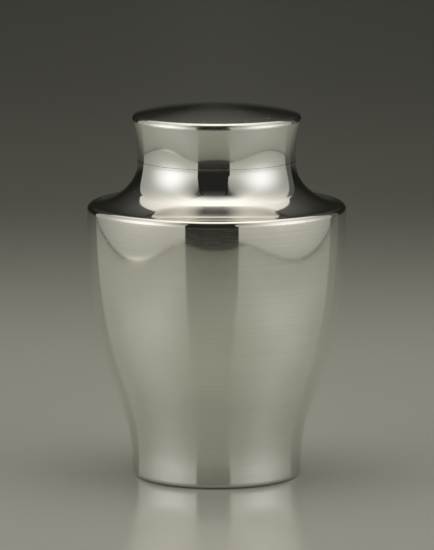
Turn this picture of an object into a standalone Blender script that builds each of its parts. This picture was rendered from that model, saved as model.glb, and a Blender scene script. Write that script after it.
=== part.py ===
# Pewter tea caddy: a turned, soldered pot with a plug-shaped inner lid and a slip-over outer lid.
# Metres, +Z up, origin at the centre of the standing ring's underside.
import math

import bpy
import numpy as np

MM = 0.001

# How finely every turned piece is cut
SEGMENTS = 48
CURVE_POINTS = 9
ROUND_POINTS = 5
KNOB_POINTS = 7
MERGE_DISTANCE = 0.00001
SHARP_ANGLE = math.radians(30)

# Play between two soldered pieces, and between two that slide
JOINT_GAP = 0.3 * MM
SLIDE_GAP = 0.3 * MM
SOLDER_LEG = 0.8 * MM

# Body wall: an upright foot, a flare with its steepest place given, and a belly that ends at the shoulder
WALL = 1.8 * MM
FOOT_RADIUS = 23.65 * MM
FOOT_HEIGHT = 5.0 * MM
FOOT_ROUND = 1.2 * MM
FOOT_RING = 3.0 * MM
FLARE_RADIUS = 28.5 * MM
FLARE_HEIGHT = 25.3 * MM
FLARE_SLOPE = 0.36
BELLY_SLOPE = 0.02

# Base plate, set up into the foot against a ledge
BASE_PLATE = 1.7 * MM
BASE_RECESS = 1.5 * MM
LEDGE_WIDTH = 1.2 * MM
LEDGE_HEIGHT = 1.2 * MM

# Shoulder casting: a rounded edge, a quarter-ellipse hollow and a short upright neck
SHOULDER_RADIUS = 36.0 * MM
SHOULDER_HEIGHT = 76.4 * MM
EDGE_ROUND = 1.35 * MM
EDGE_BAND = 0.5 * MM
SPIGOT_DEPTH = 2.5 * MM
SPIGOT_WALL = 1.5 * MM
NECK_RADIUS = 22.0 * MM
NECK_RISE = 11.5 * MM
NECK_BAND = 0.5 * MM
NECK_WALL = 1.7 * MM
NECK_BORE = 4.8 * MM

# Mouth collar, soldered up through the neck
COLLAR_WALL = 1.4 * MM
COLLAR_RISE = 7.4 * MM
COLLAR_TAIL = 1.4 * MM

# Inner lid: a dish that hangs by its flange on the collar
FLANGE = 1.2 * MM
DISH_WALL = 1.2 * MM
DISH_DEPTH = 6.0 * MM
DISH_FLOOR = 1.2 * MM

# Knob of the inner lid, with its stem through the floor
KNOB_RADIUS = 4.2 * MM
KNOB_NECK = 2.4 * MM
KNOB_FOOT = 3.2 * MM
KNOB_HEIGHT = 6.0 * MM
KNOB_FOOT_HEIGHT = 0.8 * MM
STEM_RADIUS = 1.5 * MM

# Outer lid: a flaring skirt and a domed top with a rounded rim
LID_INSET = 0.1 * MM
SKIRT_HEIGHT = 10.2 * MM
SKIRT_ARC = 42.0 * MM
RIM_PROUD = 0.3 * MM
RIM_ROUND = 1.1 * MM
DOME_RISE = 2.45 * MM
DOME_POWER = 2.7
TOP_WALL = 2.0 * MM
TOP_SEAT = 4.2 * MM

# Finishes: base colour and roughness of the turned metal
SATIN_PEWTER = ((0.66, 0.65, 0.62), 0.26)
POLISHED_PEWTER = ((0.70, 0.69, 0.66), 0.12)
INNER_PEWTER = ((0.60, 0.59, 0.56), 0.38)
SOLDER = ((0.52, 0.52, 0.50), 0.45)

# Heights and radii that follow from the sizes above
EDGE_CENTRE = SHOULDER_HEIGHT - EDGE_ROUND
SHOULDER_SEAT = EDGE_CENTRE - EDGE_BAND
WALL_TOP = SHOULDER_SEAT - JOINT_GAP
SPIGOT_RADIUS = SHOULDER_RADIUS - WALL - JOINT_GAP
SPIGOT_BOTTOM = SHOULDER_SEAT - SPIGOT_DEPTH
FOOT_BORE = FOOT_RADIUS - FOOT_RING
LEDGE_BOTTOM = BASE_RECESS + BASE_PLATE + JOINT_GAP
LEDGE_RADIUS = FOOT_BORE - LEDGE_WIDTH
HOLLOW_TOP = SHOULDER_HEIGHT + NECK_RISE
SEAM_HEIGHT = HOLLOW_TOP + NECK_BAND
NECK_BORE_RADIUS = NECK_RADIUS - NECK_WALL
NECK_BORE_BOTTOM = SEAM_HEIGHT - NECK_BORE
COLLAR_RADIUS = NECK_BORE_RADIUS - JOINT_GAP
COLLAR_BORE = COLLAR_RADIUS - COLLAR_WALL
COLLAR_TOP = SEAM_HEIGHT + COLLAR_RISE
COLLAR_BOTTOM = NECK_BORE_BOTTOM - COLLAR_TAIL
FLANGE_RADIUS = COLLAR_RADIUS - SLIDE_GAP
DISH_RADIUS = COLLAR_BORE - SLIDE_GAP
INNER_LID_SEAT = COLLAR_TOP + JOINT_GAP
SKIRT_RADIUS = NECK_RADIUS - LID_INSET
SKIRT_BORE = COLLAR_RADIUS + SLIDE_GAP
OUTER_LID_SEAT = SEAM_HEIGHT + JOINT_GAP
TOP_BOTTOM = SKIRT_HEIGHT + JOINT_GAP


def ramp(start, end, count, with_end=True):
    """Evenly spaced values from start to end."""
    return np.linspace(start, end, count, endpoint=with_end)


def arc(centre, radius, from_angle, to_angle, count):
    """Points of a round, angles in degrees above the outward direction."""
    angles = np.radians(ramp(from_angle, to_angle, count))
    return [(centre[0] + radius * math.cos(a), centre[1] + radius * math.sin(a)) for a in angles]


def smooth_radius(height, low, high):
    """Cubic between two stations (height, radius, slope), keeping both slopes."""
    span = high[0] - low[0]
    t = (height - low[0]) / span
    return (
        low[1] * (2 * t**3 - 3 * t**2 + 1)
        + high[1] * (3 * t**2 - 2 * t**3)
        + span * low[2] * (t**3 - 2 * t**2 + t)
        + span * high[2] * (t**3 - t**2)
    )


def wall_radius(height):
    """Outer radius of the body wall at a height."""
    foot = (FOOT_HEIGHT, FOOT_RADIUS, 0.0)
    flare = (FLARE_HEIGHT, FLARE_RADIUS, FLARE_SLOPE)
    belly = (WALL_TOP, SHOULDER_RADIUS, BELLY_SLOPE)
    if height <= FOOT_HEIGHT:
        return FOOT_RADIUS
    if height <= FLARE_HEIGHT:
        return smooth_radius(height, foot, flare)
    return smooth_radius(height, flare, belly)


def hollow_height(radius, thickness):
    """Height of the shoulder's quarter ellipse at a radius, or of its underside at a thickness."""
    across = (SHOULDER_RADIUS - radius) / (SHOULDER_RADIUS - NECK_RADIUS + thickness)
    return HOLLOW_TOP - (NECK_RISE + thickness) * math.sqrt(max(0.0, 1.0 - across**2))


def hollow_radius(height, thickness):
    """Radius of the shoulder's quarter ellipse at a height, or of its underside at a thickness."""
    down = (HOLLOW_TOP - height) / (NECK_RISE + thickness)
    return SHOULDER_RADIUS - (SHOULDER_RADIUS - NECK_RADIUS + thickness) * math.sqrt(1.0 - down**2)


def dome_height(radius, edge, rise):
    """Height of the lid's dome above its edge: nearly flat in the middle, steeper outwards."""
    return rise * (1.0 - (radius / edge) ** DOME_POWER)


def finish(name, look):
    """A plain metal material for one piece."""
    colour, roughness = look
    material = bpy.data.materials.new(name)
    material.use_nodes = True
    shader = material.node_tree.nodes["Principled BSDF"]
    shader.inputs["Base Color"].default_value = (*colour, 1.0)
    shader.inputs["Metallic"].default_value = 1.0
    shader.inputs["Roughness"].default_value = roughness
    return material


def axis_empty(name, height, collection):
    """An empty on the caddy's axis that carries the pieces of one assembly."""
    empty = bpy.data.objects.new(name, None)
    empty.location = (0.0, 0.0, height)
    collection.objects.link(empty)
    return empty


def turned(name, profile, look, parent, collection, ring=True):
    """One piece turned about the axis from an outline of (radius, height) points."""
    points = [(radius, 0.0, height) for radius, height in profile]
    edges = [(i, i + 1) for i in range(len(points) - 1)]
    if ring:
        edges.append((len(points) - 1, 0))
    outline = bpy.data.meshes.new(name + "_outline")
    outline.from_pydata(points, edges, [])
    piece = bpy.data.objects.new(name, outline)
    collection.objects.link(piece)
    screw = piece.modifiers.new("turn", "SCREW")
    screw.axis = "Z"
    screw.angle = math.tau
    screw.steps = SEGMENTS
    screw.render_steps = SEGMENTS
    screw.use_merge_vertices = True
    screw.merge_threshold = MERGE_DISTANCE
    bpy.context.view_layer.update()
    turned_piece = piece.evaluated_get(bpy.context.evaluated_depsgraph_get())
    piece.data = bpy.data.meshes.new_from_object(turned_piece)
    piece.data.name = name
    piece.modifiers.clear()
    bpy.data.meshes.remove(outline)
    piece.data.shade_smooth()
    piece.data.set_sharp_from_angle(angle=SHARP_ANGLE)
    piece.data.materials.append(finish(name, look))
    piece.parent = parent
    return piece


def solder_ring(name, radius, height, outward, parent, collection):
    """A three-sided bead hanging in the corner below a face and beside an upright wall."""
    top = height - JOINT_GAP
    wall_side = radius + JOINT_GAP * outward
    open_side = wall_side + SOLDER_LEG * outward
    corner = (wall_side, top)
    tip = (open_side, top)
    toe = (wall_side, top - SOLDER_LEG)
    profile = [tip, toe, corner] if outward > 0 else [corner, toe, tip]
    return turned(name, profile, SOLDER, parent, collection)


def body_wall(pot, collection):
    """The tapered wall with its foot ring and the ledge that the base plate meets."""
    belly = [(wall_radius(z), z) for z in ramp(WALL_TOP, FLARE_HEIGHT, CURVE_POINTS, False)]
    flare = [(wall_radius(z), z) for z in ramp(FLARE_HEIGHT, FOOT_HEIGHT, CURVE_POINTS)]
    foot = arc((FOOT_RADIUS - FOOT_ROUND, FOOT_ROUND), FOOT_ROUND, 0, -90, ROUND_POINTS)
    outside = [*belly, *flare, *foot]
    ledge_top = LEDGE_BOTTOM + LEDGE_HEIGHT
    ledge = [
        (FOOT_BORE, 0.0),
        (FOOT_BORE, LEDGE_BOTTOM),
        (LEDGE_RADIUS, LEDGE_BOTTOM),
        (LEDGE_RADIUS, ledge_top),
    ]
    inside_start = ledge_top + LEDGE_WIDTH
    rising = [*ramp(inside_start, FLARE_HEIGHT, CURVE_POINTS, False)]
    rising += [*ramp(FLARE_HEIGHT, WALL_TOP, CURVE_POINTS)]
    inside = [(wall_radius(z) - WALL, z) for z in rising]
    turned("body_wall", [*outside, *ledge, *inside], SATIN_PEWTER, pot, collection)


def base_plate(pot, collection):
    """The flat disc that closes the foot, recessed behind the standing ring."""
    radius = FOOT_BORE - JOINT_GAP
    top = BASE_RECESS + BASE_PLATE
    profile = [(0.0, top), (radius, top), (radius, BASE_RECESS), (0.0, BASE_RECESS)]
    turned("base_plate", profile, INNER_PEWTER, pot, collection, ring=False)
    solder_ring("base_solder", FOOT_BORE, BASE_RECESS, -1, pot, collection)


def shoulder(pot, collection):
    """The shoulder and neck casting, with a spigot that drops inside the wall."""
    edge_centre_radius = SHOULDER_RADIUS - EDGE_ROUND
    neck = [(NECK_RADIUS, SEAM_HEIGHT)]
    sweep = np.radians(ramp(0, 90, CURVE_POINTS + ROUND_POINTS))
    full_sweep = [SHOULDER_RADIUS - (SHOULDER_RADIUS - NECK_RADIUS) * math.cos(a) for a in sweep]
    hollow = [(r, hollow_height(r, 0.0)) for r in full_sweep if r < edge_centre_radius]
    edge = arc((edge_centre_radius, EDGE_CENTRE), EDGE_ROUND, 90, 0, ROUND_POINTS)
    spigot_bore = SPIGOT_RADIUS - SPIGOT_WALL
    spigot = [
        (SHOULDER_RADIUS, SHOULDER_SEAT),
        (SPIGOT_RADIUS, SHOULDER_SEAT),
        (SPIGOT_RADIUS, SPIGOT_BOTTOM),
        (spigot_bore, SPIGOT_BOTTOM),
    ]
    boss_radius = hollow_radius(NECK_BORE_BOTTOM, WALL)
    radii = ramp(spigot_bore, boss_radius, CURVE_POINTS, False)
    underside = [(r, hollow_height(r, WALL)) for r in radii]
    bore = [
        (boss_radius, NECK_BORE_BOTTOM),
        (NECK_BORE_RADIUS, NECK_BORE_BOTTOM),
        (NECK_BORE_RADIUS, SEAM_HEIGHT),
    ]
    profile = [*neck, *hollow, *edge, *spigot, *underside, *bore]
    turned("shoulder", profile, POLISHED_PEWTER, pot, collection)
    wall_inside = wall_radius(SPIGOT_BOTTOM) - WALL
    solder_ring("shoulder_solder", wall_inside, SPIGOT_BOTTOM, -1, pot, collection)


def mouth_collar(pot, collection):
    """The upright tube that the outer lid slips over and the inner lid hangs in."""
    profile = [
        (COLLAR_RADIUS, COLLAR_TOP),
        (COLLAR_RADIUS, COLLAR_BOTTOM),
        (COLLAR_BORE, COLLAR_BOTTOM),
        (COLLAR_BORE, COLLAR_TOP),
    ]
    turned("mouth_collar", profile, INNER_PEWTER, pot, collection)
    solder_ring("collar_solder", COLLAR_RADIUS, NECK_BORE_BOTTOM, 1, pot, collection)


def inner_lid(lid, collection):
    """The dish: flange, plug wall and floor, with a hole for the knob's stem. Heights from its seat."""
    bore = DISH_RADIUS - DISH_WALL
    stem_hole = STEM_RADIUS + JOINT_GAP
    floor_bottom = -DISH_DEPTH
    floor_top = floor_bottom + DISH_FLOOR
    profile = [
        (FLANGE_RADIUS, FLANGE),
        (FLANGE_RADIUS, 0.0),
        (DISH_RADIUS, 0.0),
        (DISH_RADIUS, floor_bottom),
        (stem_hole, floor_bottom),
        (stem_hole, floor_top),
        (bore, floor_top),
        (bore, FLANGE),
    ]
    turned("inner_lid_dish", profile, INNER_PEWTER, lid, collection)
    knob_seat = floor_top + JOINT_GAP
    foot_top = knob_seat + KNOB_FOOT_HEIGHT
    knob_top = knob_seat + KNOB_HEIGHT
    head = (knob_top - foot_top) / 2
    around = np.radians(ramp(90, -90, KNOB_POINTS))
    ball = [
        (max(KNOB_NECK * (a < 0), KNOB_RADIUS * math.cos(a)), knob_top - head + head * math.sin(a))
        for a in around
    ]
    profile = [
        *ball,
        (KNOB_FOOT, foot_top),
        (KNOB_FOOT, knob_seat),
        (STEM_RADIUS, knob_seat),
        (STEM_RADIUS, floor_bottom),
        (0.0, floor_bottom),
    ]
    profile[0] = (0.0, knob_top)
    turned("inner_lid_knob", profile, POLISHED_PEWTER, lid, collection, ring=False)


def skirt_radius(height):
    """Outer radius of the lid's skirt: an arc that stands upright at its lower edge."""
    return SKIRT_RADIUS + SKIRT_ARC - math.sqrt(SKIRT_ARC**2 - height**2)


def outer_lid(lid, collection):
    """The slip-over lid: its skirt, the domed top soldered on it and the bead between them."""
    outside = [(skirt_radius(z), z) for z in ramp(SKIRT_HEIGHT, 0.0, CURVE_POINTS)]
    bore = [(SKIRT_BORE, 0.0), (SKIRT_BORE, SKIRT_HEIGHT)]
    turned("lid_skirt", [*outside, *bore], POLISHED_PEWTER, lid, collection)

    joint_radius = skirt_radius(TOP_BOTTOM)
    rim_centre_radius = joint_radius + RIM_PROUD - RIM_ROUND
    tuck = math.degrees(math.acos((joint_radius - rim_centre_radius) / RIM_ROUND))
    rim_centre = (rim_centre_radius, TOP_BOTTOM + RIM_ROUND * math.sin(math.radians(tuck)))
    steepness = math.degrees(math.atan(DOME_POWER * DOME_RISE / joint_radius))
    rim = arc(rim_centre, RIM_ROUND, 90 - steepness, -tuck, ROUND_POINTS + 1)
    edge_radius, edge_height = rim[0]
    dome = [
        (r, edge_height + dome_height(r, edge_radius, DOME_RISE))
        for r in ramp(0.0, edge_radius, CURVE_POINTS, False)
    ]
    seat_radius = joint_radius - TOP_SEAT
    recess_rise = edge_height + DOME_RISE - TOP_WALL - TOP_BOTTOM
    underside = [
        (r, TOP_BOTTOM + dome_height(r, seat_radius, recess_rise))
        for r in ramp(seat_radius, 0.0, CURVE_POINTS)
    ]
    turned("lid_top", [*dome, *rim, *underside], POLISHED_PEWTER, lid, collection, ring=False)
    solder_ring("lid_solder", SKIRT_BORE, TOP_BOTTOM, -1, lid, collection)


def main():
    for old in list(bpy.data.objects):
        bpy.data.objects.remove(old, do_unlink=True)
    caddy = bpy.data.collections.new("pewter_tea_caddy")
    bpy.context.scene.collection.children.link(caddy)
    pot = axis_empty("pot_axis", 0.0, caddy)
    inner = axis_empty("inner_lid_axis", INNER_LID_SEAT, caddy)
    outer = axis_empty("outer_lid_axis", OUTER_LID_SEAT, caddy)
    body_wall(pot, caddy)
    base_plate(pot, caddy)
    shoulder(pot, caddy)
    mouth_collar(pot, caddy)
    inner_lid(inner, caddy)
    outer_lid(outer, caddy)


main()
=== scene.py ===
import math

import bpy
import numpy as np
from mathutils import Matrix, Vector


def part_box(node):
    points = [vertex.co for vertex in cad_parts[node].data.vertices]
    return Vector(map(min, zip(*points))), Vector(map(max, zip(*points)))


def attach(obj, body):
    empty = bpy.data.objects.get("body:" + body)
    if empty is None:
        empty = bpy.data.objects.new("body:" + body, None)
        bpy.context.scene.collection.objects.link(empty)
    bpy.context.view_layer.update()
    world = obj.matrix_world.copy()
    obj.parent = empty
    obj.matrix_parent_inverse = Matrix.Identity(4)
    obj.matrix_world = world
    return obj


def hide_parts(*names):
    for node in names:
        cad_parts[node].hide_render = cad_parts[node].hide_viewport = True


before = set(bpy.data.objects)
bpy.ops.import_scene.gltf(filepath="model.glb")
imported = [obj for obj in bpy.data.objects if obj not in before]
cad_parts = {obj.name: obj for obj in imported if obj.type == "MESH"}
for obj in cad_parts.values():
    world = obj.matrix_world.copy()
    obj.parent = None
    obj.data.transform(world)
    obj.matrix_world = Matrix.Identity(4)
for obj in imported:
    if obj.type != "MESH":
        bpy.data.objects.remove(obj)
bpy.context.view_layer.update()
mm = 0.001  # the caddy's shapes are written in millimetres, the studio's in metres
print("frame loaded:", len(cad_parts), "nodes")


def nodeRing(node):  # largest radius, lowest and highest place of a turned CAD node, mm
    low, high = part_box(node)
    return high.x / mm, low.z / mm, high.z / mm


# Turned pieces: an outline of (radius, height, round) corners is carried once round the axis.
turning = dict(
    segments=192,  # steps round the axis
    cornerSteps=6,  # steps round a filleted corner
    curveSteps=72,  # steps along a drawn curve
    shortSteps=36,  # steps along a short or hidden curve
    edgeSteps=24,  # steps along the shoulder's round edge
    hairline=0.03,  # round of an edge that lies flush against its neighbour
)
hair = turning["hairline"]


# Outline: the sides that meet at a corner are joined by an arc tangent to both, whose radius is the corner's round.
# The arc turns the side's normal evenly from the one to the other. A corner of round 0 stays a point on a curve.
def roundedOutline(corners, ring):
    corners = np.asarray(corners, float)
    point, size = corners[:, :2], corners[:, 2:]
    before, after = np.roll(point, 1, 0), np.roll(point, -1, 0)
    if not ring:  # an outline that starts and ends on the axis is mirrored there
        before[0] = point[1] * (-1, 1)
        after[-1] = point[-2] * (-1, 1)
    sideIn, sideOut = point - before, after - point
    sideIn /= np.linalg.norm(sideIn, axis=1, keepdims=True)
    sideOut /= np.linalg.norm(sideOut, axis=1, keepdims=True)
    cross = sideIn[:, 0] * sideOut[:, 1] - sideIn[:, 1] * sideOut[:, 0]
    turn = np.arctan2(cross, (sideIn * sideOut).sum(1))[:, None]
    outward = np.stack([-sideIn[:, 1], sideIn[:, 0]], 1)
    bulge = -np.sign(turn)  # 1 on an outer corner, -1 on an inner one
    centre = point - sideIn * size * np.tan(abs(turn) / 2) - outward * size * bulge
    step = np.linspace(0, 1, turning["cornerSteps"] + 1)[None]
    step = np.where(size > 0, step, 0.5)
    facing = np.arctan2(outward[:, 1:], outward[:, :1]) + turn * step
    normal = np.stack([np.cos(facing), np.sin(facing)], 2)
    place = centre[:, None] + normal * (size * bulge)[:, None]
    keep = (size > 0) | (np.arange(step.shape[1]) == 0)[None]
    return place[keep], normal[keep]


def ringQuads(row, nextRow, segments):  # one quad for each step round, between a row of points and the next row
    column = np.arange(segments)
    nextColumn = (column + 1) % segments
    start, end = row[:, None] * segments, nextRow[:, None] * segments
    corners = [start + column, end + column, end + nextColumn, start + nextColumn]
    return np.stack(corners, 2).reshape(-1, 4)


def newObject(name, data):
    thing = bpy.data.objects.new(name, data)
    bpy.context.scene.collection.objects.link(thing)
    return thing


# Turned surface: the outline's point i at angle j is (radius cos, radius sin, height).
# The surface map has the way along the outline, in metres, as u, and the share of a full turn as v.
def turnedPiece(name, corners, body, node, material, ring=True):
    place, normal = roundedOutline(corners, ring)
    count, segments = len(place), turning["segments"]
    column = np.arange(segments)
    angle = column * 2 * math.pi / segments
    spin = np.stack([np.cos(angle), np.sin(angle)], 1)

    def carried(flat):  # (count, 2) outline values to (count * segments, 3)
        wide = flat[:, :1, None] * spin[None]
        tall = np.broadcast_to(flat[:, 1:, None], (count, segments, 1))
        return np.concatenate([wide, tall], 2).reshape(-1, 3)

    row = np.arange(count if ring else count - 1)
    quads = ringQuads(row, (row + 1) % count, segments)
    gap = np.linalg.norm(place - np.roll(place, -1, 0), axis=1) * mm
    along = np.concatenate([[0], np.cumsum(gap)])
    start, end = np.repeat(along[row], segments), np.repeat(along[row + 1], segments)
    share, nextShare = np.tile(column / segments, len(row)), np.tile((column + 1) / segments, len(row))
    alongMap = np.stack([start, end, end, start], 1)
    roundMap = np.stack([share, share, nextShare, nextShare], 1)
    uv = np.stack([alongMap, roundMap], 2)

    keepCorner = np.ones((len(quads), 4), bool)
    if not ring:  # the two ends close on the axis: one pole point each, and triangles round it
        quads = np.where(quads < segments, 0, np.minimum(quads, (count - 1) * segments))
        keepCorner[:segments, 3] = False
        keepCorner[-segments:, 2] = False
    size = keepCorner.sum(1)
    used, loops = np.unique(quads[keepCorner], return_inverse=True)

    mesh = bpy.data.meshes.new(name)
    mesh.vertices.add(len(used))
    mesh.vertices.foreach_set("co", (carried(place) * mm)[used].astype(np.float32).ravel())
    mesh.loops.add(len(loops))
    mesh.loops.foreach_set("vertex_index", loops.astype(np.int32).ravel())
    mesh.polygons.add(len(size))
    mesh.polygons.foreach_set("loop_start", (np.cumsum(size) - size).astype(np.int32))
    mesh.polygons.foreach_set("use_smooth", np.ones(len(size), bool))
    layer = mesh.uv_layers.new(name="turned")
    layer.data.foreach_set("uv", uv[keepCorner].astype(np.float32).ravel())
    mesh.update(calc_edges=True)
    mesh.validate()
    mesh.normals_split_custom_set_from_vertices(carried(normal)[used])
    mesh.materials.append(material)
    piece = newObject(name, mesh)
    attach(piece, body)
    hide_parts(node)
    print("turned", name, len(used), "points")


def smoothPoints(radius, height):  # a drawn curve as outline corners that stay points
    return np.stack([radius, height, np.zeros_like(radius)], 1)


# Cubic between two stations (height, radius, slope) that keeps both slopes.
def easedRadius(height, low, high):
    span = high[0] - low[0]
    t = (height - low[0]) / span
    level = low[1] * (2 * t**3 - 3 * t**2 + 1) + high[1] * (3 * t**2 - 2 * t**3)
    return level + span * (low[2] * (t**3 - 2 * t**2 + t) + high[2] * (t**3 - t**2))


mixSockets = dict(share=0, first=6, second=7, result=2)  # where a mix node has its colour sockets
black = (0.0, 0.0, 0.0)


def plug(tree, value, socket):  # a number or colour is set on the socket, another node's output is linked to it
    if isinstance(value, bpy.types.NodeSocket):
        tree.links.new(value, socket)
    else:
        socket.default_value = value


def newNode(tree, kind, inputs=(), **settings):
    node = tree.nodes.new(kind)
    for key, value in settings.items():
        setattr(node, key, value)
    for key, value in dict(inputs).items():
        plug(tree, value, node.inputs[key])
    return node


def calc(tree, operation, *values):
    return newNode(tree, "ShaderNodeMath", enumerate(values), operation=operation).outputs[0]


def ease(tree, value, low, high, toLow=0.0, toHigh=1.0, shape="SMOOTHSTEP"):  # from toLow at low to toHigh at high
    ends = {"Value": value, "From Min": low, "From Max": high, "To Min": toLow, "To Max": toHigh}
    return newNode(tree, "ShaderNodeMapRange", ends, interpolation_type=shape).outputs[0]


def blendColour(tree, share, first, second, how="MIX"):
    mix = newNode(tree, "ShaderNodeMix", {mixSockets["share"]: share}, data_type="RGBA", blend_type=how)
    for key, colour in (("first", first), ("second", second)):
        plug(tree, (*colour, 1.0) if isinstance(colour, tuple) else colour, mix.inputs[mixSockets[key]])
    return mix.outputs[mixSockets["result"]]


def bellSpot(tree, place, spot, reach):  # bell curve: e to the minus square of the distance over its reach
    offset = newNode(tree, "ShaderNodeVectorMath", {0: place, 1: spot}, operation="SUBTRACT").outputs[0]
    scaled = newNode(tree, "ShaderNodeVectorMath", {0: offset, 1: reach}, operation="DIVIDE").outputs[0]
    square = newNode(tree, "ShaderNodeVectorMath", {0: scaled, 1: scaled}, operation="DOT_PRODUCT").outputs["Value"]
    return calc(tree, "POWER", math.exp(-1), square)


def objectPlace(tree):  # the place on the object, and its three axes
    place = newNode(tree, "ShaderNodeTexCoord").outputs["Object"]
    return place, newNode(tree, "ShaderNodeSeparateXYZ", {0: place}).outputs


def newMaterial(name):
    material = bpy.data.materials.new(name)
    material.use_nodes = True
    tree = material.node_tree
    return material, tree, tree.nodes["Principled BSDF"]


lathe = dict(
    ringStretch=3.0, ringDetail=3.0, ringRough=0.6,  # noise of the tool's rings
    patchDetail=4.0, patchRough=0.55,  # noise of the rubbed patches
    wearFrom=0.6, wearTo=1.4,  # rings and patches together, from bright to dull
    fineWidth=0.07, fineStretch=45.0, fineDetail=2.0, fineFrom=0.54, fineTo=0.72,  # fine scratches round the axis
    satinSide=0.25,  # share of the satin zone's roughness that is left at its sides
    markDepth=0.5,  # roughness that a mark adds in its middle
)


# Pewter as it leaves the lathe. The surface map's u runs across the tool's rings, so noise that is stretched along v
# draws rings and fine scratches. Rings and rubbed patches change the roughness and the colour, rings the bump too.
# satin: heights between which the burnishing stays short of a mirror. marks: scuffs as (x, y, z, reach).
# warm: height below which the colour is a warmer one, a painted warm tint of the reflections there.
def pewter(name, colour, rough, streak, ringWidth, ringDepth, haze, tarnish, scratch, patches=70.0, satin=None,
           warm=None, marks=()):
    w = lathe
    material, tree, shader = newMaterial(name)
    shader.inputs["Metallic"].default_value = 1.0
    shader.inputs["Anisotropic"].default_value = streak
    surface = newNode(tree, "ShaderNodeUVMap", uv_map="turned").outputs[0]
    tangent = newNode(tree, "ShaderNodeTangent", direction_type="UV_MAP", uv_map="turned").outputs[0]
    plug(tree, tangent, shader.inputs["Tangent"])

    def ringNoise(width, stretch, **inputs):
        scale = (1 / (width * mm), stretch, 1.0)
        vector = newNode(tree, "ShaderNodeMapping", {"Vector": surface, "Scale": scale}).outputs[0]
        inputs = {"Vector": vector, "Scale": 1.0, **inputs}
        return newNode(tree, "ShaderNodeTexNoise", inputs, noise_dimensions="2D").outputs[0]

    place, axes = objectPlace(tree)
    rings = ringNoise(ringWidth, w["ringStretch"], Detail=w["ringDetail"], Roughness=w["ringRough"])
    patch = {"Vector": place, "Scale": patches, "Detail": w["patchDetail"], "Roughness": w["patchRough"]}
    wear = calc(tree, "ADD", rings, newNode(tree, "ShaderNodeTexNoise", patch).outputs[0])
    worn = ease(tree, wear, w["wearFrom"], w["wearTo"], rough - haze, rough + haze)
    fine = ringNoise(w["fineWidth"], w["fineStretch"], Detail=w["fineDetail"])
    worn = calc(tree, "ADD", worn, ease(tree, fine, w["fineFrom"], w["fineTo"], 0.0, scratch))
    if satin:
        low, high, fade = satin["low"], satin["high"], satin["fade"]
        above = ease(tree, axes["Z"], low * mm, (low + fade) * mm)
        below = ease(tree, axes["Z"], (high - fade) * mm, high * mm, 1.0, 0.0)
        sideways = calc(tree, "ABSOLUTE", axes["X"])
        inward = ease(tree, sideways, satin["middle"] * mm, satin["side"] * mm, 1.0, w["satinSide"])
        zone = calc(tree, "MULTIPLY", calc(tree, "MULTIPLY", above, below), inward)
        worn = calc(tree, "MULTIPLY_ADD", zone, satin["added"], worn)
    for x, y, z, reach in marks:
        bell = bellSpot(tree, place, (x * mm, y * mm, z * mm), (reach * mm,) * 3)
        worn = calc(tree, "MULTIPLY_ADD", bell, w["markDepth"], worn)
    plug(tree, worn, shader.inputs["Roughness"])

    dulled = tuple(c * (1 - tarnish) for c in colour)
    shade = blendColour(tree, ease(tree, wear, w["wearFrom"], w["wearTo"]), colour, dulled)
    # painted warm tint below the warm height, warming the reflections and highlights there
    if warm:
        below = ease(tree, axes["Z"], warm["top"] * mm, (warm["top"] + warm["fade"]) * mm, 1.0, 0.0)
        shade = blendColour(tree, below, shade, warm["colour"])
    plug(tree, shade, shader.inputs["Base Color"])
    bump = newNode(tree, "ShaderNodeBump", {"Height": rings, "Strength": 1.0, "Distance": ringDepth * mm}).outputs[0]
    plug(tree, bump, shader.inputs["Normal"])
    return material


satinPewter = pewter(
    "satin_pewter", colour=(0.75, 0.744, 0.697), rough=0.045, streak=0.45, ringWidth=0.34, ringDepth=0.0004,
    haze=0.012, tarnish=0.09, scratch=0.11,
)
polishedPewter = pewter(
    "polished_pewter", colour=(0.715, 0.71, 0.675), rough=0.045, streak=0.40, ringWidth=0.25, ringDepth=0.0001,
    haze=0.01, tarnish=0.04, scratch=0.08,
)
shoulderPewter = pewter(
    "shoulder_pewter", colour=(0.735, 0.73, 0.70), rough=0.03, streak=0.75, ringWidth=0.25, ringDepth=0.0001,
    haze=0.01, tarnish=0.04, scratch=0.06,
    satin=dict(low=76.95, high=79.4, fade=0.3, added=0.13, middle=11.0, side=19.0),
    # painted warm tint of the reflections below 79 mm
    warm=dict(top=79.0, fade=0.8, colour=(0.745, 0.722, 0.672)),
    marks=(
        (-22.6, -10.6, 81.1, 0.30), (17.1, -31.65, 75.3, 0.14), (19.3, -30.4, 74.95, 0.20),
        (20.2, -29.8, 75.25, 0.12), (22.6, -28.0, 75.05, 0.16), (24.6, -26.25, 75.0, 0.30), (25.3, -25.6, 75.3, 0.22),
    ),
)
domePewter = pewter(
    "dome_pewter", colour=(0.775, 0.767, 0.725), rough=0.045, streak=0.40, ringWidth=0.80, ringDepth=0.0001,
    haze=0.01, tarnish=0.20, scratch=0.20, patches=500.0,
    satin=dict(low=99.6, high=100.75, fade=0.2, added=0.09, middle=30.0, side=40.0),
    marks=(
        (14.2, -14.6, 101.6, 0.36), (6.4, -10.0, 103.05, 0.16), (16.6, -7.1, 102.1, 0.20), (20.6, -9.2, 100.9, 0.40),
    ),
)
plainPewter = pewter(
    "plain_pewter", colour=(0.66, 0.655, 0.63), rough=0.26, streak=0.60, ringWidth=0.40, ringDepth=0.0020,
    haze=0.05, tarnish=0.12, scratch=0.10,
)
dullSolder = pewter(
    "solder", colour=(0.56, 0.56, 0.54), rough=0.42, streak=0.10, ringWidth=0.60, ringDepth=0.0040,
    haze=0.06, tarnish=0.15, scratch=0.0,
)
print("finishes made")

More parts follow.
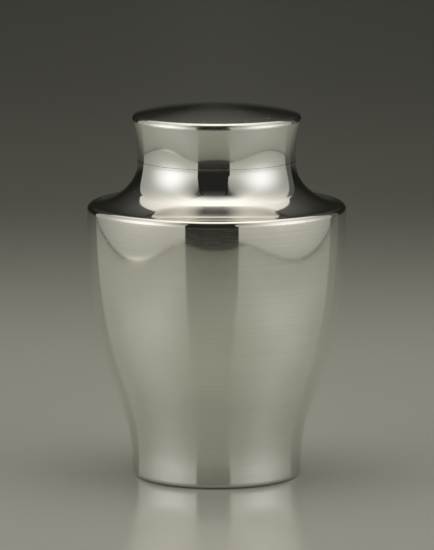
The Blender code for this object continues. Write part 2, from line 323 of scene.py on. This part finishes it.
# The pot: wall, base plate, shoulder and collar.
wallShape = dict(
    thick=1.8, footRadius=23.65, footHeight=5.0, footRound=1.5, footRing=3.0, heelRound=0.4,
    flareRadius=28.5, flareHeight=25.3, flareSlope=0.36, bellySlope=0.0, topBand=0.4, jointRise=0.15,
    ledgeWidth=1.2, ledgeHeight=1.2, ledgeSeat=0.3, softEdge=0.2,
)
shoulderRadius, _, wallTop = nodeRing("body_wall")
_, spigotBottom, seamHeight = nodeRing("shoulder")
plateRadius, plateBottom, plateTop = nodeRing("base_plate")
jointHeight = wallTop + wallShape["jointRise"]  # the middle of the gap that the solids leave at the soldered joint


# Wall: upright foot, then one cubic to the flare's steepest place and a second to the belly under the shoulder.
def wallRadius(height):
    s = wallShape
    foot = (s["footHeight"], s["footRadius"], 0.0)
    flare = (s["flareHeight"], s["flareRadius"], s["flareSlope"])
    belly = (wallTop, shoulderRadius, s["bellySlope"])
    lower = easedRadius(height, foot, flare)
    upper = easedRadius(height, flare, belly)
    risen = np.where(height < s["flareHeight"], lower, upper)
    return np.where(height < s["footHeight"], s["footRadius"], risen)


def bodyWall():
    s = wallShape
    edge = s["softEdge"]
    curveTop = wallTop - s["topBand"]
    ledgeBottom = plateTop + s["ledgeSeat"]
    ledgeTop = ledgeBottom + s["ledgeHeight"]
    bore = s["footRadius"] - s["footRing"]
    ledge = bore - s["ledgeWidth"]
    down = np.linspace(curveTop, s["footHeight"], turning["curveSteps"] + 1)
    up = np.linspace(ledgeTop + s["ledgeWidth"], curveTop, turning["shortSteps"])
    corners = np.vstack([
        [(shoulderRadius, jointHeight, hair)],
        smoothPoints(wallRadius(down), down),
        [(s["footRadius"], 0.0, s["footRound"]), (bore, 0.0, s["heelRound"])],
        [(bore, ledgeBottom, edge), (ledge, ledgeBottom, edge), (ledge, ledgeTop, edge)],
        smoothPoints(wallRadius(up) - s["thick"], up),
        [(shoulderRadius - s["thick"], jointHeight, hair)],
    ])
    turnedPiece("caddy_wall", corners, "pot", "body_wall", satinPewter)


plateShape = dict(softEdge=0.3, dimpleRadius=0.9, dimpleDepth=0.25)


# Base plate: a flat disc with a turning dimple in the middle of its underside.
def basePlate():
    s = plateShape
    edge = s["softEdge"]
    corners = [
        (0.0, plateTop, 0.0), (plateRadius, plateTop, edge), (plateRadius, plateBottom, edge),
        (s["dimpleRadius"], plateBottom, edge), (0.0, plateBottom + s["dimpleDepth"], 0.0),
    ]
    turnedPiece("caddy_base_plate", corners, "pot", "base_plate", plainPewter, ring=False)


shoulderShape = dict(
    edgeRound=1.65, shoulderHeight=76.4, neckRadius=22.0, neckBand=0.5, neckWall=1.7, boreDepth=4.8,
    thick=1.8, spigotGap=0.3, spigotWall=1.5, seamRise=0.13, seamRound=0.06, softEdge=0.15,
)


# Shoulder: a quarter ellipse from the upright neck to the level edge, then the edge's round and an upright band.
def shoulderCasting():
    s = shoulderShape
    edge, bulge = s["softEdge"], s["edgeRound"]
    hollowTop = seamHeight - s["neckBand"]
    across = shoulderRadius - s["neckRadius"]
    centreRadius, centreHeight = shoulderRadius - bulge, s["shoulderHeight"] - bulge
    level = math.atan((hollowTop - s["shoulderHeight"]) / across * bulge / across)  # slope where the round takes over
    startRadius, startHeight = centreRadius + bulge * math.sin(level), centreHeight + bulge * math.cos(level)
    reach = (shoulderRadius - startRadius) / across
    rise = (hollowTop - startHeight) / math.sqrt(1 - reach**2)
    sweep = np.linspace(0, math.acos(reach), turning["curveSteps"] + 1)
    hollow = smoothPoints(shoulderRadius - across * np.cos(sweep), hollowTop - rise * np.sin(sweep))
    bend = np.linspace(math.pi / 2 - level, 0, turning["edgeSteps"])[1:]
    rounding = smoothPoints(centreRadius + bulge * np.cos(bend), centreHeight + bulge * np.sin(bend))

    spigot = shoulderRadius - s["thick"] - s["spigotGap"]
    spigotBore = spigot - s["spigotWall"]
    boreRadius = s["neckRadius"] - s["neckWall"]
    boreBottom = seamHeight - s["boreDepth"]
    underAcross, underRise = across + s["thick"], rise + s["thick"]
    drop = (hollowTop - boreBottom) / underRise
    boss = shoulderRadius - underAcross * math.sqrt(1 - drop**2)
    under = np.linspace(spigotBore, boss, turning["shortSteps"])[1:-1]
    tilt = (shoulderRadius - under) / underAcross
    underside = smoothPoints(under, hollowTop - underRise * np.sqrt(1 - tilt**2))
    neckTop = seamHeight + s["seamRise"]
    corners = np.vstack([
        [(s["neckRadius"], neckTop, s["seamRound"])],
        hollow,
        rounding,
        [(shoulderRadius, jointHeight, hair), (spigot, jointHeight, edge)],
        [(spigot, spigotBottom, edge), (spigotBore, spigotBottom, edge)],
        underside,
        [(boss, boreBottom, edge), (boreRadius, boreBottom, edge), (boreRadius, neckTop, s["seamRound"])],
    ])
    turnedPiece("caddy_shoulder", corners, "pot", "shoulder", shoulderPewter)


collarShape = dict(wall=1.4, lipRound=0.55, tailRound=0.2)
collarRadius, collarBottom, collarTop = nodeRing("mouth_collar")
collarBore = collarRadius - collarShape["wall"]


# Collar: a straight tube with a rounded lip.
def mouthCollar():
    s = collarShape
    corners = [
        (collarRadius, collarTop, s["lipRound"]), (collarRadius, collarBottom, s["tailRound"]),
        (collarBore, collarBottom, s["tailRound"]), (collarBore, collarTop, s["lipRound"]),
    ]
    turnedPiece("mouth_collar_tube", corners, "pot", "mouth_collar", plainPewter)


# The inner lid: dish and knob.
dishShape = dict(
    wall=1.2, flange=1.2, floor=1.2, plugGap=0.3, stemHole=1.8, softEdge=0.3, lipRound=0.48, seatRound=0.15,
    bendRound=0.8,
)
flangeRadius, dishBottom, flangeTop = nodeRing("inner_lid_dish")
_, stemBottom, knobTop = nodeRing("inner_lid_knob")


# Dish: a flange on the collar's lip, and a plug with a flat floor that hangs in the mouth.
def innerLidDish():
    s = dishShape
    edge = s["softEdge"]
    plugRadius = collarBore - s["plugGap"]
    bore = plugRadius - s["wall"]
    seat = flangeTop - s["flange"]
    floorTop = dishBottom + s["floor"]
    corners = [
        (flangeRadius, flangeTop, s["lipRound"]), (flangeRadius, seat, edge), (plugRadius, seat, s["seatRound"]),
        (plugRadius, dishBottom, s["bendRound"]), (s["stemHole"], dishBottom, edge), (s["stemHole"], floorTop, edge),
        (bore, floorTop, s["bendRound"]), (bore, flangeTop, s["lipRound"]),
    ]
    turnedPiece("inner_lid_dish_turned", corners, "inner_lid", "inner_lid_dish", plainPewter)


knobShape = dict(
    ballRadius=4.2, neckRadius=2.4, footRadius=3.2, footHeight=0.8, height=6.0, stemRadius=1.5,
    neckRound=0.5, neckEdge=0.2, stemEdge=0.1, softEdge=0.25,
)


# Knob: the upper part is an ellipse of revolution, cut off where it meets the upright neck above the foot.
def innerLidKnob():
    s = knobShape
    edge = s["softEdge"]
    knobSeat = knobTop - s["height"]
    footTop = knobSeat + s["footHeight"]
    half = (knobTop - footTop) / 2
    ballHeight = knobTop - half
    meet = -math.acos((s["neckRadius"] + s["neckRound"]) / s["ballRadius"])
    sweep = np.linspace(math.pi / 2, meet, turning["shortSteps"])
    ball = smoothPoints(s["ballRadius"] * np.cos(sweep), ballHeight + half * np.sin(sweep))
    ball[0, 0] = 0.0  # the pole lies on the axis
    neckTop = ballHeight - half * math.sin(math.acos(s["neckRadius"] / s["ballRadius"]))
    corners = np.vstack([
        ball,
        [(s["neckRadius"], neckTop, s["neckEdge"]), (s["neckRadius"], footTop, s["neckEdge"])],
        [(s["footRadius"], footTop, edge), (s["footRadius"], knobSeat, edge)],
        [(s["stemRadius"], knobSeat, s["stemEdge"]), (s["stemRadius"], stemBottom, edge), (0.0, stemBottom, 0.0)],
    ])
    turnedPiece(
        "inner_lid_knob_turned", corners, "inner_lid", "inner_lid_knob", polishedPewter, ring=False,
    )


# The outer lid: skirt and domed top.
skirtShape = dict(
    bore=20.3, arc=42.0, foot=21.9, seamBand=0.3, seamDrop=0.13, seamRound=0.05, tuckIn=0.3, tuckRise=0.2,
    softEdge=0.25,
)
topShape = dict(
    rimRound=1.55, rimUnder=1.5, bandRound=0.12, jointRise=0.50, domeRise=2.1, domePower=2.7, wall=2.0, seat=4.2,
    seatRound=0.1,
)
rimRadius, lidBottom, lidTop = nodeRing("lid_top")
_, skirtBottom, _ = nodeRing("lid_skirt")
lidJoint = lidBottom + topShape["jointRise"]


def skirtRadius(height):  # an arc that stands upright at the skirt's lower edge
    s = skirtShape
    return s["foot"] + s["arc"] - np.sqrt(s["arc"] ** 2 - (height - skirtBottom) ** 2)


def lidSkirt():
    s = skirtShape
    down = np.linspace(lidJoint, skirtBottom + s["seamBand"], turning["curveSteps"])
    top, bottom = lidJoint + s["tuckRise"], skirtBottom - s["seamDrop"]
    corners = np.vstack([
        [(float(skirtRadius(lidJoint)) - s["tuckIn"], top, hair)],
        smoothPoints(skirtRadius(down), down),
        [(s["foot"], bottom, s["seamRound"]), (s["bore"], bottom, s["softEdge"]), (s["bore"], top, hair)],
    ])
    turnedPiece("lid_skirt_turned", corners, "outer_lid", "lid_skirt", polishedPewter)


# Dome: height falls from the apex with a power of the radius, into a round shoulder above an upright rim.
def lidDome():
    s = topShape
    edgeRadius = rimRadius - s["rimRound"]
    steep = math.atan(s["domePower"] * s["domeRise"] / edgeRadius)
    bend = np.linspace(math.pi / 2 - steep, 0, turning["shortSteps"])
    rim = smoothPoints(edgeRadius + s["rimRound"] * np.cos(bend), s["rimRound"] * np.sin(bend))
    startRadius, startHeight = rim[0, :2]
    rim[:, 1] += lidTop - s["domeRise"] - startHeight
    out = np.linspace(0, startRadius, turning["curveSteps"], endpoint=False)
    dome = smoothPoints(out, lidTop - s["domeRise"] * (out / startRadius) ** s["domePower"])
    seat = float(skirtRadius(lidJoint)) - s["seat"]
    recess = lidTop - s["wall"] - lidBottom
    back = np.linspace(seat, 0, turning["shortSteps"])[1:]
    underside = smoothPoints(back, lidBottom + recess * (1 - (back / seat) ** s["domePower"]))
    corners = np.vstack([
        dome,
        rim,
        [(rimRadius, lidJoint, s["bandRound"]), (rimRadius - s["rimUnder"], lidJoint, hair)],
        [(seat, lidBottom, s["seatRound"])],
        underside,
    ])
    turnedPiece("lid_dome", corners, "outer_lid", "lid_top", domePewter, ring=False)


beadShape = dict(leg=0.8, hollow=0.22, slant=0.7, middleRound=0.25, softEdge=0.06)


# Solder bead: two flat legs in a corner and a hollow face between them. outward is 1 on a wall's outside, else -1.
def solderBead(node, body, outward):
    s = beadShape
    edge, sink = s["softEdge"], s["hollow"] * s["slant"]
    wide, _, top = nodeRing(node)
    wallSide = wide - s["leg"] if outward > 0 else wide
    tip = wallSide + s["leg"] * outward
    middle = ((wallSide + tip) / 2 - sink * outward, top - s["leg"] / 2 + sink, s["middleRound"])
    corners = [(wallSide, top, edge), (tip, top, edge), middle, (wallSide, top - s["leg"], edge)]
    turnedPiece(node + "_bead", corners[::outward], body, node, dullSolder)


bodyWall()
basePlate()
shoulderCasting()
mouthCollar()
innerLidDish()
innerLidKnob()
lidSkirt()
lidDome()
solderBead("base_solder", "pot", -1)
solderBead("shoulder_solder", "pot", -1)
solderBead("collar_solder", "pot", 1)
solderBead("lid_solder", "outer_lid", -1)
print("caddy turned")

table = dict(
    reach=4.0, rings=24, segments=96, gloss=0.185, shine=0.80,
    front=(0.18, 0.18, 0.157), frontEdge=-0.362, edgeBlur=0.006,  # floor before the table
    # painted falloff of the light: the table colour darkens behind the caddy
    colour=(0.552, 0.552, 0.488), far=(0.219, 0.219, 0.191), backStart=0.16, backEnd=0.56,  # darker behind the caddy
    sweep=(0.354, 0.354, 0.310), sweepStart=0.8, sweepEnd=1.6,  # and paler again far behind it
    # painted shadow: the table colour is darkened round the caddy's foot
    footShade=0.15, footReach=0.030,  # shade round the caddy's foot
    # painted shade: the table colour is darkened to the sides
    sideFrom=0.09, sideTo=0.17, sideShade=0.05,  # shade to the sides
)


# Table: a disc of rings at growing distances round one middle point. Its pale part ends at a straight front edge
# and fades out behind the caddy in a painted falloff of the light. Painted shade makes it a little darker round the
# foot and to the sides.
def tableTop():
    s = table
    rings, segments = s["rings"], s["segments"]
    distance = s["reach"] * np.linspace(0, 1, rings + 1)[1:] ** 2
    column = np.arange(segments)
    angle = column * 2 * math.pi / segments
    flat = [np.outer(distance, np.cos(angle)), np.outer(distance, np.sin(angle)), np.zeros((rings, segments))]
    verts = np.vstack([[(0, 0, 0)], np.stack(flat, 2).reshape(-1, 3)])
    centre = np.stack([np.zeros(segments, int), 1 + column, 1 + (column + 1) % segments], 1)
    quads = 1 + ringQuads(np.arange(rings - 1), np.arange(1, rings), segments)
    mesh = bpy.data.meshes.new("table_top")
    mesh.from_pydata(verts.tolist(), [], centre.tolist() + quads.tolist())

    material, tree, shader = newMaterial("table_top")
    place, axes = objectPlace(tree)
    depth, sideways = axes["Y"], calc(tree, "ABSOLUTE", axes["X"])
    # painted falloff of the light behind the caddy
    graded = blendColour(tree, ease(tree, depth, s["backStart"], s["backEnd"]), s["colour"], s["far"])
    graded = blendColour(tree, ease(tree, depth, s["sweepStart"], s["sweepEnd"]), graded, s["sweep"])
    # painted shadow round the foot, then painted shade to the sides
    foot = bellSpot(tree, place, (0.0, 0.0, 0.0), (s["footReach"],) * 3)
    graded = blendColour(tree, calc(tree, "MULTIPLY", foot, s["footShade"]), graded, black)
    graded = blendColour(tree, ease(tree, sideways, s["sideFrom"], s["sideTo"], 0.0, s["sideShade"]), graded, black)
    onTable = ease(tree, depth, s["frontEdge"] - s["edgeBlur"], s["frontEdge"] + s["edgeBlur"])
    plug(tree, blendColour(tree, onTable, s["front"], graded), shader.inputs["Base Color"])
    shader.inputs["Roughness"].default_value = s["gloss"]
    shader.inputs["Specular IOR Level"].default_value = s["shine"]
    mesh.materials.append(material)
    newObject("table_top", mesh)


# Studio light: two white side screens that stand on the table, and a white roof over them.
screens = dict(
    height=0.9, columns=48, leanHeights=(0.08, 0.15), leanSteps=9, unlit=(0.02, 0.02, 0.02, 1.0),
    farFrom=-0.2, farTo=0.32, farBase=0.40,  # the even glow weakens to the far end
    riseFrom=0.2, riseTo=0.9, rise=0.75,  # and grows to the roof
    hotWide=0.172, hotTall=0.20, hotFoot=(0.022, 0.070),  # soft spot of the lamp behind the sheet
    shadeTall=0.030, footShade=0.84,  # shade along the foot
    lineTall=0.004, lineFrom=-0.2, lineTo=0.05, line=(0.72, 0.34),  # line along the table, darker to the far end
    dimLeast=0.01, dimMost=0.57, dimFloor=0.08,  # fading to the front, over a shorter way further up
    blurFrom=0.25, blurTo=0.6, blur=(0.003, 0.04),  # the front edge is softer further up
    farBlur=0.02, farTop=(0.46, 0.60), farGlow=0.11,  # dim part beyond the far edge
    tintHeights=(0.02, 0.15), lowTint=(1.0, 0.98, 0.87), highTint=(1.0, 0.972, 0.885),
    hotTint=(1.0, 0.99, 0.985), hotTintFrom=0.06, hotTintTo=0.40,
)
leftScreen = dict(
    plan=((-0.192, -0.370), (-0.234, -0.310), (-0.262, -0.190), (-0.312, -0.030), (-0.377, 0.150), (-0.405, 0.353)),
    lean=(0.006, 0.005), base=0.585, hot=(-0.280, -0.131, 0.145), hotGlow=0.86,
    dimFront=-0.095, dimFoot=0.10, dimReach=0.122, farEdge=0.37, farSlant=0.0,
    leak=(-0.288, -0.098, 0.002), leakReach=(0.075, 0.075, 0.003), leakGlow=0.40,  # light under the sheet
)
rightScreen = dict(
    plan=(
        (0.135, -0.394), (0.201, -0.330), (0.257, -0.200), (0.320, -0.040), (0.392, 0.130), (0.435, 0.326),
        (0.452, 0.440),
    ),
    lean=(0.003, 0.0115), base=0.565, hot=(0.280, -0.133, 0.155), hotGlow=0.80,
    dimFront=-0.13, dimFoot=0.13, dimReach=0.130, farEdge=0.215, farSlant=0.20,
)
roof = dict(
    height=0.9, width=1.7, front=-0.45, back=0.90, fadeTo=-0.09, backEdge=0.792, askew=0.11, edgeBlur=0.006,
    base=0.66, hot=0.73, hotReach=0.62, tint=(1.0, 0.975, 0.915, 1.0),
)


# Sheet: rows of points over a plan curve, a polynomial through the plan's points. The front edge's lean changes with
# height by a smooth step, and the columns are spread evenly between the front and the far edge.
def screenSheet(name, own):
    s = screens
    across, depth = np.array(own["plan"]).T
    columns, step = s["columns"], np.linspace(0, 1, s["leanSteps"])
    low, high = s["leanHeights"]
    leanLow, leanHigh = own["lean"]
    z = np.concatenate([[0], low + (high - low) * step, [s["height"]]])
    lean = leanLow + (leanHigh - leanLow) * step**2 * (3 - 2 * step)
    front = depth[0] - np.concatenate([lean[:1], lean, lean[-1:]])
    y = front[:, None] + (depth[-1] - front)[:, None] * np.linspace(0, 1, columns)
    x = np.polyval(np.polyfit(depth, across, len(depth) - 1), y)
    verts = np.stack([x, y, np.broadcast_to(z[:, None], y.shape)], 2).reshape(-1, 3)
    first = (np.arange(len(z) - 1)[:, None] * columns + np.arange(columns - 1)).reshape(-1)
    quads = np.stack([first, first + 1, first + 1 + columns, first + columns], 1)
    quads = quads if across[0] < 0 else quads[:, ::-1]  # faces look to the caddy
    mesh = bpy.data.meshes.new(name)
    mesh.from_pydata(verts.tolist(), [], quads.tolist())
    mesh.polygons.foreach_set("use_smooth", np.ones(len(quads), bool))
    return mesh


# Glow of a sheet: even, with the soft spot of the lamp behind it, weaker to the far end and stronger to the roof.
# It fades to the front further up, ends at the leaning front edge, and turns dim beyond the far edge. The foot has a
# shade and a dark line on the table. The colour is warm, and nearly white in the soft spot.
def screenGlow(name, own):
    s = screens
    material, tree, shader = newMaterial(name)
    shader.inputs["Base Color"].default_value = s["unlit"]
    shader.inputs["Roughness"].default_value = 1.0
    shader.inputs["Specular IOR Level"].default_value = 0.0
    place, axes = objectPlace(tree)
    depth, height = axes["Y"], axes["Z"]

    def times(first, second):
        return calc(tree, "MULTIPLY", first, second)

    def less(first, second):
        return calc(tree, "SUBTRACT", first, second)

    hot = bellSpot(tree, place, own["hot"], (s["hotWide"], s["hotWide"], s["hotTall"]))
    hot = times(hot, ease(tree, height, *s["hotFoot"]))
    even = ease(tree, depth, s["farFrom"], s["farTo"], own["base"], s["farBase"])
    level = calc(tree, "MULTIPLY_ADD", hot, own["hotGlow"], even)
    level = calc(tree, "ADD", level, ease(tree, height, s["riseFrom"], s["riseTo"], 0.0, s["rise"]))
    level = times(level, ease(tree, height, 0.0, s["shadeTall"], s["footShade"], 1.0))
    line = ease(tree, depth, s["lineFrom"], s["lineTo"], *s["line"])
    level = times(level, ease(tree, height, 0.0, s["lineTall"], line, 1.0))
    if "leak" in own:
        leak = bellSpot(tree, place, own["leak"], own["leakReach"])
        level = calc(tree, "MULTIPLY_ADD", leak, own["leakGlow"], level)

    steep = calc(tree, "MINIMUM", calc(tree, "MAXIMUM", less(height, own["dimFoot"]), s["dimLeast"]), s["dimMost"])
    dimStart = less(own["dimFront"], calc(tree, "DIVIDE", own["dimReach"], steep))
    level = times(level, ease(tree, depth, dimStart, own["dimFront"], s["dimFloor"], 1.0, shape="LINEAR"))
    farEdge = calc(tree, "MULTIPLY_ADD", height, own["farSlant"], own["farEdge"])
    beyond = ease(tree, less(depth, farEdge), -s["farBlur"], s["farBlur"])
    beyond = times(beyond, ease(tree, height, *s["farTop"], 1.0, 0.0))
    level = calc(tree, "ADD", times(level, less(1.0, beyond)), times(beyond, s["farGlow"]))

    lean = ease(tree, height, *s["leanHeights"], *own["lean"])
    fromEdge = calc(tree, "ADD", less(depth, own["plan"][0][1]), lean)
    shown = ease(tree, fromEdge, 0.0, ease(tree, height, s["blurFrom"], s["blurTo"], *s["blur"]))
    behind = newNode(tree, "ShaderNodeNewGeometry").outputs["Backfacing"]
    plug(tree, times(level, times(shown, less(1.0, behind))), shader.inputs["Emission Strength"])
    tint = blendColour(tree, ease(tree, height, *s["tintHeights"]), s["lowTint"], s["highTint"])
    tint = blendColour(tree, ease(tree, hot, s["hotTintFrom"], s["hotTintTo"]), tint, s["hotTint"])
    plug(tree, tint, shader.inputs["Emission Color"])
    return material


def sideScreen(name, own):
    mesh = screenSheet(name, own)
    mesh.materials.append(screenGlow(name, own))
    sheet = newObject(name, mesh)
    sheet.visible_camera = False


# Roof: a level panel that shines down, brightest over the caddy. It fades to the front and ends at a back edge that
# is a little askew.
def roofScreen():
    r = roof
    lamp = bpy.data.lights.new("roof_screen", "AREA")
    lamp.shape = "RECTANGLE"
    lamp.size, lamp.size_y = r["width"], r["back"] - r["front"]
    lamp.energy = math.pi * lamp.size * lamp.size_y  # a strength of 1 is a white of 1
    lamp.use_nodes = True
    holder = newObject("roof_screen", lamp)
    holder.location = (0.0, (r["front"] + r["back"]) / 2, r["height"])
    holder.visible_camera = False

    tree = lamp.node_tree
    place = newNode(tree, "ShaderNodeNewGeometry").outputs["Position"]
    axes = newNode(tree, "ShaderNodeSeparateXYZ", {0: place}).outputs
    hot = bellSpot(tree, place, (0.0, 0.0, r["height"]), (r["hotReach"],) * 3)
    level = calc(tree, "MULTIPLY_ADD", hot, r["hot"], r["base"])
    level = calc(tree, "MULTIPLY", level, ease(tree, axes["Y"], r["front"], r["fadeTo"]))
    back = calc(tree, "MULTIPLY_ADD", axes["X"], r["askew"], axes["Y"])
    inside = ease(tree, back, r["backEdge"] - r["edgeBlur"], r["backEdge"] + r["edgeBlur"], 1.0, 0.0)
    glow = tree.nodes["Emission"].inputs
    plug(tree, calc(tree, "MULTIPLY", level, inside), glow["Strength"])
    glow["Color"].default_value = r["tint"]


room = dict(
    front=(0.0213, 0.021, 0.018), above=(0.090, 0.089, 0.078), aboveFrom=0.72, aboveTo=0.96,  # towards the camera
    back=(0.0142, 0.014, 0.0122), high=(0.083, 0.082, 0.073), riseFrom=0.15, riseTo=0.78,  # backdrop
    glow=(0.0485, 0.048, 0.043), glowFrom=0.03, glowTo=0.30, glowWide=0.012, glowSpread=2.6, glowPower=3.0,
    low=(0.032, 0.032, 0.028), lowTo=0.16, lowWide=0.30,
    sideBlur=0.2,  # how far the front and the backdrop run into each other at the sides
)


# The unlit room: dark before the table, and behind it a backdrop that grows lighter upwards, most of all in a middle
# glow that widens with a power of the height. A low glow stands over the table's far end.
def darkRoom():
    r = room
    world = bpy.data.worlds.new("studio")
    bpy.context.scene.world = world
    world.use_nodes = True
    tree = world.node_tree
    way = newNode(tree, "ShaderNodeTexCoord").outputs["Generated"]
    axes = newNode(tree, "ShaderNodeSeparateXYZ", {0: way}).outputs
    height, sideways = axes["Z"], calc(tree, "ABSOLUTE", axes["X"])
    backdrop = blendColour(tree, ease(tree, height, r["riseFrom"], r["riseTo"]), r["back"], r["high"])
    wide = calc(tree, "MULTIPLY_ADD", calc(tree, "POWER", height, r["glowPower"]), r["glowSpread"], r["glowWide"])
    middle = ease(tree, sideways, 0.0, wide, 1.0, 0.0)
    middle = calc(tree, "MULTIPLY", middle, ease(tree, height, r["glowFrom"], r["glowTo"]))
    backdrop = blendColour(tree, middle, backdrop, r["glow"], how="ADD")
    low = ease(tree, sideways, 0.0, r["lowWide"], 1.0, 0.0)
    low = calc(tree, "MULTIPLY", low, ease(tree, height, 0.0, r["lowTo"], 1.0, 0.0))
    backdrop = blendColour(tree, low, backdrop, r["low"], how="ADD")
    front = blendColour(tree, ease(tree, height, r["aboveFrom"], r["aboveTo"]), r["front"], r["above"])
    colour = blendColour(tree, ease(tree, axes["Y"], -r["sideBlur"], r["sideBlur"]), front, backdrop)
    plug(tree, colour, tree.nodes["Background"].inputs["Color"])


tableTop()
sideScreen("left_screen", leftScreen)
sideScreen("right_screen", rightScreen)
roofScreen()
darkRoom()
print("table and lights set")

view = dict(place=(0.0001, -1.3081, 0.26607), tilt=80.88, lens=311.6, sensor=36, near=0.01, far=20)
camera = newObject("camera", bpy.data.cameras.new("camera"))
camera.location = view["place"]
camera.rotation_euler = (math.radians(view["tilt"]), 0, 0)
camera.data.lens, camera.data.sensor_width = view["lens"], view["sensor"]
camera.data.clip_start, camera.data.clip_end = view["near"], view["far"]
bpy.context.scene.camera = camera
bpy.context.scene.view_settings.view_transform = "Standard"
